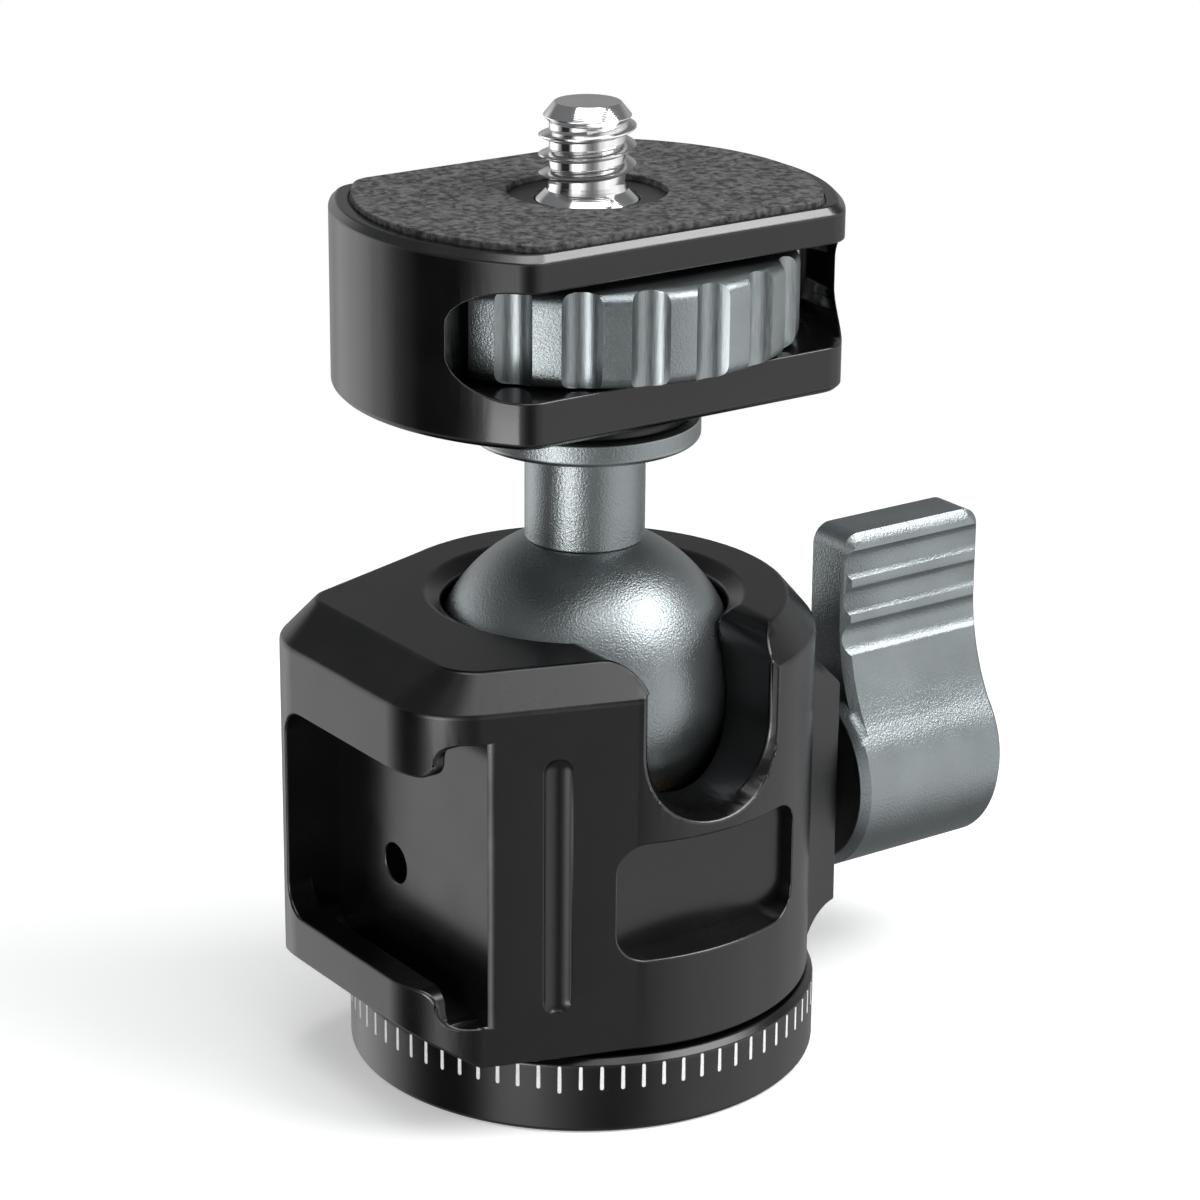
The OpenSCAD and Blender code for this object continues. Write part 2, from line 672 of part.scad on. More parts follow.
module lever() {
    hub_x1 = hub_x0 + hub_l;
    grip_z = clamp_z + handle_h - grip_start;
    color([0.42, 0.46, 0.48]) difference() {
        union() {
            translate([0, 0, clamp_z]) rotate([0, 90, 0]) rotate_extrude()
                polygon([[0, hub_x0], [hub_r - hub_ch, hub_x0], [hub_r, hub_x0 + hub_ch],
                    [hub_r, hub_x1 - hub_ch], [hub_r - hub_ch, hub_x1], [0, hub_x1]]);
            handle();
        }
        for (i = [0 : grip_n - 1])
            translate([hub_x0 - over, -handle_front - grip_r + grip_d, grip_z - i * grip_pitch])
                rotate([0, 90, 0]) cylinder(r = grip_r, h = hub_l + 2 * over);
        translate([hub_x0 - over, 0, clamp_z]) rotate([0, 90, 0]) cylinder(r = recess_r, h = recess_d + over);
        translate([hub_x0, 0, clamp_z]) rotate([0, 90, 0])
            cylinder(r = stud_r + run_gap, h = stud_x1 - hub_x0 + face_gap);
        translate([hub_x0, 0, clamp_z]) rotate([0, 90, 0]) cylinder(r = lever_screw_r + run_gap, h = hub_l);
        translate([lever_head_x, 0, clamp_z]) rotate([0, 90, 0])
            cylinder(r = lever_head_r + run_gap, h = hub_l);
    }
}

// Black thrust washer at the bottom of the hub's recess
module lever_washer() {
    color([0.05, 0.05, 0.055]) translate([0, 0, clamp_z]) rotate([0, 90, 0])
        washer(stud_r + face_gap, recess_r - face_gap, hub_x0 + recess_d - lever_washer_h, lever_washer_h);
}

// Socket screw that holds the lever on the stud
module lever_screw() {
    tip_x = lever_head_x - lever_screw_l;
    face_x = lever_head_x + lever_head_h;
    color([0.2, 0.2, 0.21]) translate([0, 0, clamp_z]) rotate([0, 90, 0]) difference() {
        rotate_extrude() polygon([[0, tip_x], [lever_screw_r, tip_x], [lever_screw_r, lever_head_x],
            [lever_head_r, lever_head_x], [lever_head_r, face_x], [0, face_x]]);
        translate([0, 0, face_x - lever_head_h * socket_share])
            cylinder(r = lever_head_r * socket_share, h = lever_head_h, $fn = 6);
    }
}

module ball() {
    color([0.45, 0.49, 0.51]) translate([0, 0, ball_z]) sphere(r = ball_r);
}

// Neck and flange above the ball
module ball_stem() {
    edge = flange_h * edge_share;
    root_z = ball_z + ball_r * neck_root_share;
    color([0.45, 0.49, 0.51]) difference() {
        rotate_extrude() polygon([[0, root_z], [neck_r, root_z],
            [neck_r, flange_z], [flange_r - edge, flange_z], [flange_r, flange_z + edge],
            [flange_r, flange_z + flange_h], [0, flange_z + flange_h]]);
        translate([0, 0, ball_z]) sphere(r = ball_r + run_gap);
        translate([0, 0, flange_z + flange_h - stem_hole_l])
            cylinder(r = stem_hole_r + run_gap, h = stem_hole_l + over);
    }
}

// Outline of the plate, moved in by a margin
module plate_outline(end_margin, side_margin) {
    offset(r = plate_round) offset(delta = -plate_round) intersection() {
        circle(r = plate_r - end_margin, $fn = plate_fn);
        square([2 * plate_r, 2 * (plate_flat - side_margin)], center = true);
    }
}

module plate_body() {
    hull() {
        translate([0, 0, plate_z]) linear_extrude(plate_foot_ch)
            plate_outline(plate_foot_ch, plate_foot_ch);
        translate([0, 0, plate_z + plate_foot_ch])
            linear_extrude(plate_h - plate_foot_ch - plate_top_ch) plate_outline(0, 0);
        translate([0, 0, plate_z + plate_foot_ch]) linear_extrude(plate_h - plate_foot_ch)
            plate_outline(plate_top_ch, plate_top_ch);
    }
}

module window(half_w, side) {
    mid_z = window_z + window_h / 2;
    translate([0, side * (plate_r + window_back) / 2, mid_z]) rotate([90, 0, 0])
        linear_extrude(plate_r - window_back, center = true)
            rounded_rect(2 * half_w, window_h, window_round);
}

// Camera plate, milled from one block, with the wheel's chamber open to front and rear
module top_plate() {
    color([0.06, 0.06, 0.065]) difference() {
        union() {
            plate_body();
            translate([0, 0, boss_z]) cylinder(r = plate_boss_r, h = plate_boss_h + plate_foot_ch);
        }
        translate([0, 0, window_z]) cylinder(r = wheel_r + wheel_room, h = window_h);
        window(window_front, -1);
        window(window_rear, 1);
        translate([0, 0, window_z]) cylinder(r = shoulder_r + run_gap, h = plate_h);
        translate([0, 0, plate_top - pad_h + pad_proud]) linear_extrude(pad_h + over)
            plate_outline(pad_end_margin - face_gap, pad_side_margin - face_gap);
        translate([0, 0, window_z]) countersunk(plate_head_r + face_gap, stem_hole_r + face_gap,
            plate_screw_l, plate_head_rim);
    }
}

// Countersunk screw that fixes the plate to the stem
module plate_screw() {
    drive_r = plate_head_r * socket_share;
    color([0.3, 0.3, 0.31]) difference() {
        translate([0, 0, window_z - run_gap])
            countersunk(plate_head_r, stem_hole_r, plate_screw_l, plate_head_rim);
        translate([0, 0, window_z - drive_r]) cylinder(r = drive_r, h = drive_r + over, $fn = 6);
    }
}

// Slippery washer between the wheel and the chamber's roof
module wheel_washer() {
    top = window_z + window_h;
    color([0.1, 0.1, 0.1]) washer(shoulder_r + face_gap * 2, shoulder_r * 2,
        wheel_z + wheel_h + face_gap, top - wheel_z - wheel_h - face_gap);
}

// Non-slip pad let into the top of the plate
module plate_pad() {
    color([0.17, 0.17, 0.18]) translate([0, 0, pad_top - pad_h]) difference() {
        linear_extrude(pad_h) plate_outline(pad_end_margin, pad_side_margin);
        translate([0, 0, -over]) cylinder(r = pad_hole_r, h = pad_h + 2 * over);
    }
}

// Fluted wheel that turns the camera screw
module thumb_wheel() {
    color([0.42, 0.46, 0.48]) difference() {
        translate([0, 0, wheel_z]) rotate_extrude() polygon([[stem_hole_r, 0], [wheel_r - wheel_ch, 0],
            [wheel_r, wheel_ch], [wheel_r, wheel_h - wheel_ch], [wheel_r - wheel_ch, wheel_h],
            [stem_hole_r, wheel_h]]);
        for (i = [0 : flutes_n - 1]) rotate([0, 0, i * 360 / flutes_n - 90])
            translate([wheel_r + flute_r - flute_d, 0, wheel_z - over])
                cylinder(r = flute_r, h = wheel_h + 2 * over);
    }
}

// Quarter-inch screw for the camera, pressed into the wheel
module camera_screw() {
    tip_z = pad_top + screw_up;
    shoulder_top = plate_top - pad_h + pad_proud;
    color([0.85, 0.86, 0.88]) rotate_extrude() polygon([[0, wheel_z + face_gap],
        [stem_hole_r - run_gap / 2, wheel_z + face_gap], [stem_hole_r - run_gap / 2, wheel_z + wheel_h],
        [shoulder_r, wheel_z + wheel_h], [shoulder_r, shoulder_top], [thread_major_r, shoulder_top],
        [thread_major_r, tip_z - screw_tip_ch], [thread_major_r - screw_tip_ch, tip_z], [0, tip_z]]);
}

base_ring();
base_thread_bush();
glide_washer();
pan_retainer();
retainer_screws();
housing();
bearing_plug();
pan_washer();
ball_seat();
clamp_stud();
lever();
lever_washer();
lever_screw();
ball();
ball_stem();
top_plate();
plate_screw();
wheel_washer();
plate_pad();
thumb_wheel();
camera_screw();
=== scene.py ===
import math

import bmesh
import bpy
from mathutils import Matrix, Vector


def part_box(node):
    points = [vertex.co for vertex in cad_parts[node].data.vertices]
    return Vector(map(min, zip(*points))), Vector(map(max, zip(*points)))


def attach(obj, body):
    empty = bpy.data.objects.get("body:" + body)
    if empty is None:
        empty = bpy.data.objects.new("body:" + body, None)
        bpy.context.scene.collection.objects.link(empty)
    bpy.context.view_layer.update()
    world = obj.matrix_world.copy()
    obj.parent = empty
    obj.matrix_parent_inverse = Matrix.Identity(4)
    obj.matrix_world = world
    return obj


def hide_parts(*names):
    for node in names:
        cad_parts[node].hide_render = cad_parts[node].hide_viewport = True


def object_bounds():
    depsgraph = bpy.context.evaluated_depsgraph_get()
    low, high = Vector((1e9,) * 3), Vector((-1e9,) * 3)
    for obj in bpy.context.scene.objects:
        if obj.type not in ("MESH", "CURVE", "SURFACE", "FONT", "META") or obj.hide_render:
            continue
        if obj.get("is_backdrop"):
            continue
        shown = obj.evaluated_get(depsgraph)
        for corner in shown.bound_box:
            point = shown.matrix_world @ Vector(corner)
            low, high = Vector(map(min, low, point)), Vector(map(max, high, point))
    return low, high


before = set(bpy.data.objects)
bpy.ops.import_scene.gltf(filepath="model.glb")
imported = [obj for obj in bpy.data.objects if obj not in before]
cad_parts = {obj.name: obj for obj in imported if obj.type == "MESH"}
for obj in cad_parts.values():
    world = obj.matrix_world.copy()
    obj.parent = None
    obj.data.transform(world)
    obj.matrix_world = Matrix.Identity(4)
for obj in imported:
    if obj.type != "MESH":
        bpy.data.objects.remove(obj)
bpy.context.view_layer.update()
scene = bpy.context.scene

# Camera
# The head is seen from its notch and shoe side, a little above the camera plate, through a long
# lens at about a quarter of a metre.
camera_at = Vector((-0.13852, -0.19783, 0.11742))
view_right = Vector((0.81823, -0.57483, 0.00801))
view_up = Vector((0.18619, 0.27815, 0.94232))
view_back = Vector((-0.5439, -0.76955, 0.33462))
lens = bpy.data.cameras.new("catalogue_camera")
lens.sensor_width = 36.0
lens.lens = 114.42
lens.clip_start = 0.01
camera = bpy.data.objects.new("catalogue_camera", lens)
view_turn = Matrix((view_right, view_up, view_back)).transposed().to_4x4()
camera.matrix_world = Matrix.Translation(camera_at) @ view_turn
scene.collection.objects.link(camera)
scene.camera = camera
scene.view_settings.view_transform = "Standard"


# Studio room
# White flags and dark gaps stand in a ring round the table, low down, and the ceiling is dim, so
# that the dark metal has something to mirror. Straight below it is dim too. The camera itself
# sees plain white.
def preset(node, values):
    for socket, value in values.items():
        node.inputs[socket].default_value = value
    return node


def two_tones(nodes, first, first_at, last, last_at):
    tones = nodes.new("ShaderNodeValToRGB")
    stops = tones.color_ramp.elements
    stops[0].position, stops[0].color = first_at, (*first, 1)
    stops[1].position, stops[1].color = last_at, (*last, 1)
    return tones


# The glow of the flags is listed by their turn, in degrees from the camera's side.
camera_side_deg = -125.25
flag_glow = ((-180, 0.30), (-155, 0.55), (-138, 1.22), (-118, 1.60), (-104, 1.20), (-90, 0.34),
             (-79, 0.02), (-56, 0.02), (-48, 0.60), (-40, 1.95), (-24, 2.10), (-12, 1.00),
             (3, 0.30), (15, 0.18), (26, 0.30), (42, 0.85), (62, 1.15), (92, 1.10),
             (120, 0.70), (150, 0.40), (180, 0.30))
flags_end, ceiling_starts = 0.20, 0.46
room = bpy.data.worlds.new("studio_room")
scene.world = room
room.use_nodes = True
nodes, links = room.node_tree.nodes, room.node_tree.links
nodes.clear()
direction = nodes.new("ShaderNodeTexCoord")
faced = preset(nodes.new("ShaderNodeMapping"), {"Rotation": (0, 0, math.radians(-camera_side_deg))})
around = nodes.new("ShaderNodeTexGradient")
around.gradient_type = "RADIAL"
flags = nodes.new("ShaderNodeValToRGB")
flag_ramp = flags.color_ramp
flag_ramp.interpolation = "EASE"
ends = {-180: 0, 180: -1}
for side, glow in flag_glow:
    if side in ends:
        stop = flag_ramp.elements[ends[side]]
    else:
        stop = flag_ramp.elements.new(side / 360 + 0.5)
    stop.color = (glow, glow, glow, 1)
height = nodes.new("ShaderNodeSeparateXYZ")
above = two_tones(nodes, (0, 0, 0), flags_end, (1, 1, 1), ceiling_starts)
walls = preset(nodes.new("ShaderNodeMixRGB"), {"Color2": (0.17, 0.175, 0.18, 1)})
below = preset(nodes.new("ShaderNodeMapRange"), {"From Min": -0.80, "From Max": -0.44})
below.interpolation_type = "SMOOTHSTEP"
under = preset(nodes.new("ShaderNodeMixRGB"), {"Color1": (0.22, 0.225, 0.23, 1)})
room_light = nodes.new("ShaderNodeBackground")
plain_white = preset(nodes.new("ShaderNodeBackground"), {"Color": (1, 1, 1, 1)})
ray = nodes.new("ShaderNodeLightPath")
seen = nodes.new("ShaderNodeMixShader")
room_out = nodes.new("ShaderNodeOutputWorld")
links.new(direction.outputs["Generated"], faced.inputs["Vector"])
links.new(faced.outputs["Vector"], around.inputs["Vector"])
links.new(around.outputs["Fac"], flags.inputs["Fac"])
links.new(direction.outputs["Generated"], height.inputs["Vector"])
links.new(height.outputs["Z"], above.inputs["Fac"])
links.new(above.outputs["Color"], walls.inputs["Fac"])
links.new(flags.outputs["Color"], walls.inputs["Color1"])
links.new(height.outputs["Z"], below.inputs["Value"])
links.new(below.outputs["Result"], under.inputs["Fac"])
links.new(walls.outputs["Color"], under.inputs["Color2"])
links.new(under.outputs["Color"], room_light.inputs["Color"])
links.new(ray.outputs["Is Camera Ray"], seen.inputs["Fac"])
links.new(room_light.outputs["Background"], seen.inputs[1])
links.new(plain_white.outputs["Background"], seen.inputs[2])
links.new(seen.outputs["Shader"], room_out.inputs["Surface"])

# Paper floor
# White seamless paper. It takes the soft shadow near the head, is lifted a little for the camera,
# and fades into the white of the room farther out. The metal mirrors the flags and not the paper.
half_sheet, fade_from, fade_to, camera_lift = 3.0, 0.05, 0.16, 0.34
bm = bmesh.new()
bmesh.ops.create_grid(bm, x_segments=1, y_segments=1, size=half_sheet)
mesh = bpy.data.meshes.new("paper_floor")
bm.to_mesh(mesh)
bm.free()
paper_floor = bpy.data.objects.new("paper_floor", mesh)
scene.collection.objects.link(paper_floor)
paper_floor.visible_glossy = False
paper = bpy.data.materials.new("white_paper")
paper.use_nodes = True
nodes, links = paper.node_tree.nodes, paper.node_tree.links
sheet = preset(nodes["Principled BSDF"], {"Base Color": (0.93, 0.93, 0.93, 1), "Roughness": 0.9,
                                          "Specular IOR Level": 0.1})
ray = nodes.new("ShaderNodeLightPath")
lift = nodes.new("ShaderNodeMath")
lift.operation = "MULTIPLY"
lift.inputs[1].default_value = camera_lift
glow = nodes.new("ShaderNodeEmission")
both = nodes.new("ShaderNodeAddShader")
place = nodes.new("ShaderNodeTexCoord")
far = nodes.new("ShaderNodeVectorMath")
far.operation = "LENGTH"
edge = preset(nodes.new("ShaderNodeMapRange"), {"From Min": fade_from, "From Max": fade_to})
edge.interpolation_type = "SMOOTHSTEP"
open_end = nodes.new("ShaderNodeBsdfTransparent")
fade = nodes.new("ShaderNodeMixShader")
links.new(ray.outputs["Is Camera Ray"], lift.inputs[0])
links.new(lift.outputs["Value"], glow.inputs["Strength"])
links.new(sheet.outputs["BSDF"], both.inputs[0])
links.new(glow.outputs["Emission"], both.inputs[1])
links.new(place.outputs["Object"], far.inputs[0])
links.new(far.outputs["Value"], edge.inputs["Value"])
links.new(edge.outputs["Result"], fade.inputs["Fac"])
links.new(both.outputs["Shader"], fade.inputs[1])
links.new(open_end.outputs["BSDF"], fade.inputs[2])
links.new(fade.outputs["Shader"], nodes["Material Output"].inputs["Surface"])
mesh.materials.append(paper)
paper_floor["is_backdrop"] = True

# Soft boxes
# The main one stands high on the lever's side, a weak one hangs over the camera and one overhead,
# and a small one lies low on the other side of the camera to draw a line down the neck.
head_middle = Vector((0, 0, 0.035))


def soft_box(name, turn_deg, rise_deg, far, wide, high, glow):
    lamp = bpy.data.lights.new(name, "AREA")
    lamp.shape = "RECTANGLE"
    lamp.size, lamp.size_y = wide, high
    lamp.energy = glow * math.pi * wide * high
    box = bpy.data.objects.new(name, lamp)
    scene.collection.objects.link(box)
    turn, rise = math.radians(turn_deg), math.radians(rise_deg)
    out = Vector((math.cos(turn) * math.cos(rise), math.sin(turn) * math.cos(rise), math.sin(rise)))
    aimed = out.to_track_quat("Z", "Y").to_matrix().to_4x4()
    box.matrix_world = Matrix.Translation(head_middle + far * out) @ aimed


soft_box("main_box", turn_deg=-48, rise_deg=45, far=0.55, wide=0.36, high=0.24, glow=7.8)
soft_box("camera_box", turn_deg=-104, rise_deg=57, far=0.60, wide=0.40, high=0.22, glow=1.8)
soft_box("top_box", turn_deg=-60, rise_deg=86, far=0.60, wide=0.46, high=0.46, glow=2.2)
soft_box("low_box", turn_deg=-155, rise_deg=-12, far=0.10, wide=0.034, high=0.022, glow=6.0)


# Base ring
# Turned from aluminium bar, bead blasted and dyed black. With its bush it stays still on the
# tripod while the rest of the head pans on it.
class Finish:
    def __init__(self, name, skin_values):
        self.material = bpy.data.materials.new(name)
        self.material.use_nodes = True
        self.nodes, self.links = self.material.node_tree.nodes, self.material.node_tree.links
        self.skin = preset(self.nodes["Principled BSDF"], skin_values)
        self.place = self.nodes.new("ShaderNodeTexCoord").outputs["Object"]

    def noise(self, scale, detail=2.0, roughness=0.5, place=None):
        pattern = preset(self.nodes.new("ShaderNodeTexNoise"),
                         {"Scale": scale, "Detail": detail, "Roughness": roughness})
        self.links.new(place or self.place, pattern.inputs["Vector"])
        return pattern

    def colour(self, pattern, dark, light, dark_at=0.3, light_at=0.7):
        tone = two_tones(self.nodes, dark, dark_at, light, light_at)
        self.links.new(pattern.outputs["Fac"], tone.inputs["Fac"])
        self.links.new(tone.outputs["Color"], self.skin.inputs["Base Color"])

    def wear(self, pattern, smooth, rough, smooth_at=0.3, rough_at=0.7):
        spread = preset(self.nodes.new("ShaderNodeMapRange"), {
            "From Min": smooth_at, "From Max": rough_at, "To Min": smooth, "To Max": rough})
        self.links.new(pattern.outputs["Fac"], spread.inputs["Value"])
        self.links.new(spread.outputs["Result"], self.skin.inputs["Roughness"])

    def relief(self, pattern, deep, strength=1.0):
        dent = preset(self.nodes.new("ShaderNodeBump"), {"Strength": strength, "Distance": deep})
        self.links.new(pattern.outputs["Fac"], dent.inputs["Height"])
        self.links.new(dent.outputs["Normal"], self.skin.inputs["Normal"])


def anodised(name, dark, light, metal, mirror, smooth, rough, grain, deep):
    finish = Finish(name, {"Metallic": metal, "Specular IOR Level": mirror})
    cloud = finish.noise(scale=240, detail=4)
    finish.colour(cloud, dark, light)
    finish.wear(cloud, smooth, rough)
    finish.relief(finish.noise(scale=grain, detail=2.5, roughness=0.6), deep)
    return finish.material


# A piece is made of its bmesh. Its faces are shaded round up to the crease, or flat without one.
def settled(name, bm, body, finishes, replaced=(), crease=None):
    for face in bm.faces:
        face.smooth = crease is not None
    mesh = bpy.data.meshes.new(name)
    bm.to_mesh(mesh)
    bm.free()
    if crease is not None:
        mesh.set_sharp_from_angle(angle=math.radians(crease))
    for finish in finishes:
        mesh.materials.append(finish)
    piece = bpy.data.objects.new(name, mesh)
    scene.collection.objects.link(piece)
    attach(piece, body)
    if replaced:
        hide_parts(*replaced)
    return piece


# The solid's loose triangles become one skin of broad faces. Where it is asked for, the vertices
# of the round outside are evened out, and faces past a depth are halved at the middle.
def merged_copy(node, even_out, halve_past):
    weld, shortest, rim_deep, flat_deg = 2e-6, 1e-6, 0.0006, 0.6
    bm = bmesh.new()
    bm.from_mesh(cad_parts[node].data)
    bmesh.ops.remove_doubles(bm, verts=bm.verts, dist=weld)
    if even_out > 0:
        outer = max(math.hypot(v.co.x, v.co.y) for v in bm.verts)
        rim = [v for v in bm.verts if math.hypot(v.co.x, v.co.y) > outer - rim_deep]
        bmesh.ops.remove_doubles(bm, verts=rim, dist=even_out)
    bmesh.ops.dissolve_degenerate(bm, dist=shortest, edges=bm.edges)
    bmesh.ops.dissolve_limit(bm, angle_limit=math.radians(flat_deg), verts=bm.verts, edges=bm.edges)
    if halve_past > 0:
        flats = [f for f in bm.faces if all(abs(v.co.y) > halve_past for v in f.verts)]
        flat_edges = list({e for f in flats for e in f.edges})
        flat_verts = list({v for f in flats for v in f.verts})
        bmesh.ops.bisect_plane(bm, geom=flats + flat_edges + flat_verts,
                               plane_co=(0, 0, 0), plane_no=(1, 0, 0))
    # Fins without thickness, left where two lengths of a chamfer meet, are taken off.
    fins = [v for v in bm.verts if len(v.link_edges) == 2 and not all(e.is_manifold for e in v.link_edges)]
    bmesh.ops.delete(bm, geom=fins, context="VERTS")
    return bm


def near_line(place, start, end):
    reach = 0.0003
    run = end - start
    along = max(0, min(1, (place - start).dot(run) / run.length_squared))
    return (place - start - run * along).length < reach


def in_box(place, low, high):
    return all(low[i] < place[i] < high[i] for i in range(3))


# Sharp edges are broken by the slight width, blunt ones by the wide one, and the soft lines by
# their own. An edge that lies in a crisp box is left sharp.
def broken_edges(node, body, finishes, slight=0, wide=0, soft=(), crisp=(), crease=35,
                 even_out=0, halve_past=0):
    least_bend, sharp_bend, least_soft_bend = 28, 62, 12
    bm = merged_copy(node, even_out, halve_past)
    broadest = max([slight, wide] + [offset for start, end, offset in soft])
    share = bm.edges.layers.float.new("bevel_weight_edge")
    for edge in (e for e in bm.edges if broadest > 0 and e.is_manifold and e.is_convex):
        bend = math.degrees(edge.calc_face_angle())
        left_sharp = any(all(in_box(v.co, low, high) for v in edge.verts) for low, high in crisp)
        if bend > least_bend and not left_sharp:
            edge[share] = (wide if bend < sharp_bend else slight) / broadest
        for start, end, offset in soft:
            on_line = all(near_line(v.co, Vector(start), Vector(end)) for v in edge.verts)
            if bend > least_soft_bend and on_line:
                edge[share] = offset / broadest
    piece = settled(node + "_finished", bm, body, finishes, (node,), crease)
    if broadest > 0:
        rounding = piece.modifiers.new("broken_edges", "BEVEL")
        rounding.limit_method = "WEIGHT"
        rounding.width = broadest
        rounding.segments = 3
        # The rounds take the piece's second finish, which on most pieces is lighter: a painted highlight.
        rounding.material = 1
        rounding.use_clamp_overlap = False
    flat = piece.modifiers.new("flat_faces", "WEIGHTED_NORMAL")
    flat.keep_sharp = True
    cut_up = piece.modifiers.new("triangles", "TRIANGULATE")
    cut_up.min_vertices = 5
    cut_up.keep_custom_normals = True
    return piece


black_skin = anodised("black_anodised", dark=(0.0028, 0.0028, 0.0030), light=(0.0042, 0.0042, 0.0045),
                      metal=0.0, mirror=0.50, smooth=0.21, rough=0.28, grain=7000, deep=0.000004)
# The broken edges get a lighter, glossier black: a painted highlight.
black_edge_highlight = anodised("black_edge_painted_highlight", dark=(0.005, 0.005, 0.0052), light=(0.010, 0.010, 0.0105),
                       metal=0.0, mirror=0.70, smooth=0.22, rough=0.30, grain=5000, deep=0.000003)
broken_edges("base_ring", "base", (black_skin, black_edge_highlight), slight=0.00010, wide=0.00010)

# Degree marks
# Seventy-two short lines filled with white paint round the base ring, five degrees apart, with a
# longer one at every quarter turn. Each is drawn flat, then stood up on the ring's side.
marks_round, marks_per_quarter, first_mark_deg = 72, 18, -130
mark_wide, mark_low, mark_high, quarter_longer = 0.00026, 0.00315, 0.00484, 0.00027
paint_deep, paint_proud = 0.00006, 0.000012
paint_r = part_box("base_ring")[1][0] + paint_proud - paint_deep
upright = Matrix(((0, 0, 1, 0), (1, 0, 0, 0), (0, 1, 0, 0), (0, 0, 0, 1)))
bm = bmesh.new()
for i in range(marks_round):
    low = mark_low - (quarter_longer if i % marks_per_quarter == 0 else 0)
    drawn = bmesh.ops.create_circle(bm, cap_ends=True, segments=12, radius=mark_wide / 2)["verts"]
    stretch = (mark_high - low - mark_wide) / 2
    for v in drawn:
        v.co.y += stretch if v.co.y > 0 else -stretch
    grown = bmesh.ops.extrude_face_region(bm, geom=[drawn[0].link_faces[0]])["geom"]
    top = [g for g in grown if isinstance(g, bmesh.types.BMVert)]
    bmesh.ops.translate(bm, verts=top, vec=(0, 0, paint_deep))
    turn = Matrix.Rotation(math.radians(first_mark_deg + 360 / marks_round * i), 4, "Z")
    stand = turn @ Matrix.Translation((paint_r, 0, (mark_high + low) / 2)) @ upright
    bmesh.ops.transform(bm, matrix=stand, verts=drawn + top)
bmesh.ops.recalc_face_normals(bm, faces=bm.faces)
paint = Finish("white_mark_paint", {"Roughness": 0.6})
paint.colour(paint.noise(scale=9000), (0.62, 0.62, 0.60), (0.90, 0.90, 0.88), dark_at=0.2, light_at=0.55)
settled("degree_marks", bm, "base", (paint.material,))


# Tripod bush
# A turned steel insert in the base ring, with the tripod thread inside. The thread is one closed
# ridge wound up the bore, and its ends run out into the wall.
def wound_ridge(bm, root_r, crest_r, pitch, low, high, root_wide, crest_wide, steps=56):
    sunk_share, rim_share, waist_share, run_out_share, run_out_bow = 0.25, 0.16, 0.22, 0.6, 0.6
    core = set(bm.verts)
    deep = crest_r - root_r
    sunk_r, rim_r = root_r - deep * sunk_share, crest_r - deep * rim_share
    half, tip = root_wide / 2, crest_wide / 2
    waist = tip + (half - tip) * waist_share
    shape = ((sunk_r, -half), (root_r, -half), (rim_r, -waist), (crest_r, -tip),
             (crest_r, tip), (rim_r, waist), (root_r, half), (sunk_r, half))
    ring = [bm.verts.new((r, 0, low + half + z)) for r, z in shape]
    loop = [bm.edges.new(pair) for pair in zip(ring, ring[1:] + ring[:1])]
    count = int((high - low - root_wide) / pitch * steps)
    bmesh.ops.spin(bm, geom=ring + loop, cent=(0, 0, 0), axis=(0, 0, 1),
                   dvec=(0, 0, pitch / steps), angle=math.tau * count / steps, steps=count)
    bmesh.ops.holes_fill(bm, edges=[e for e in bm.edges if e.is_boundary])
    run_out = run_out_share * pitch
    for v in (v for v in bm.verts if v not in core):
        r = math.hypot(v.co.x, v.co.y)
        fade = min(1.0, max(0.0, (v.co.z - low) / run_out), max(0.0, (high - v.co.z) / run_out))
        wanted = sunk_r + (r - sunk_r) * fade ** run_out_bow
        v.co.x *= wanted / r
        v.co.y *= wanted / r
    bmesh.ops.recalc_face_normals(bm, faces=bm.faces)


def turned_metal(name, dark, light, ring_gap, smooth, rough, axis):
    gap_at_scale_one = 0.314
    finish = Finish(name, {"Metallic": 1.0})
    tool = preset(finish.nodes.new("ShaderNodeTexWave"), {
        "Scale": gap_at_scale_one / ring_gap, "Distortion": 0.6, "Detail": 2})
    tool.wave_type = "RINGS"
    tool.rings_direction = axis
    finish.links.new(finish.place, tool.inputs["Vector"])
    smear = finish.noise(scale=420, detail=4)
    finish.colour(smear, dark, light)
    finish.wear(smear, smooth, rough)
    finish.relief(tool, deep=0.000004, strength=0.5)
    return finish.material


def turned(bm, outline, steps=128):
    points = [bm.verts.new((r, 0, z)) for r, z in outline]
    edges = [bm.edges.new(pair) for pair in zip(points, points[1:])]
    if outline[0][0] > 0:
        edges.append(bm.edges.new((points[-1], points[0])))
    bmesh.ops.spin(bm, geom=points + edges, cent=(0, 0, 0), axis=(0, 0, 1), angle=math.tau,
                   steps=steps, use_merge=True)
    bmesh.ops.remove_doubles(bm, verts=bm.verts, dist=1e-7)
    bmesh.ops.recalc_face_normals(bm, faces=bm.faces)


low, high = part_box("base_thread_bush")
thread_pitch, end_gap = 0.00127, 0.0001
bore_r, mouth_r, mouth_deep, broken = 0.00318, 0.0034, 0.0003, 0.0002
bm = bmesh.new()
turned(bm, [(bore_r, low[2] + mouth_deep), (bore_r, high[2] - mouth_deep), (mouth_r, high[2]),
            (high[0] - broken, high[2]), (high[0], high[2] - broken), (high[0], low[2] + broken),
            (high[0] - broken, low[2]), (mouth_r, low[2])])
wound_ridge(bm, root_r=0.0032, crest_r=0.0026, pitch=thread_pitch, low=low[2] + end_gap,
            high=high[2] - end_gap, root_wide=0.0011, crest_wide=0.0002)
turned_steel = turned_metal("turned_steel", (0.42, 0.42, 0.41), (0.52, 0.52, 0.50),
                            ring_gap=0.00012, smooth=0.22, rough=0.36, axis="Z")
settled("thread_bush", bm, "base", (turned_steel,), ("base_thread_bush",), crease=32)


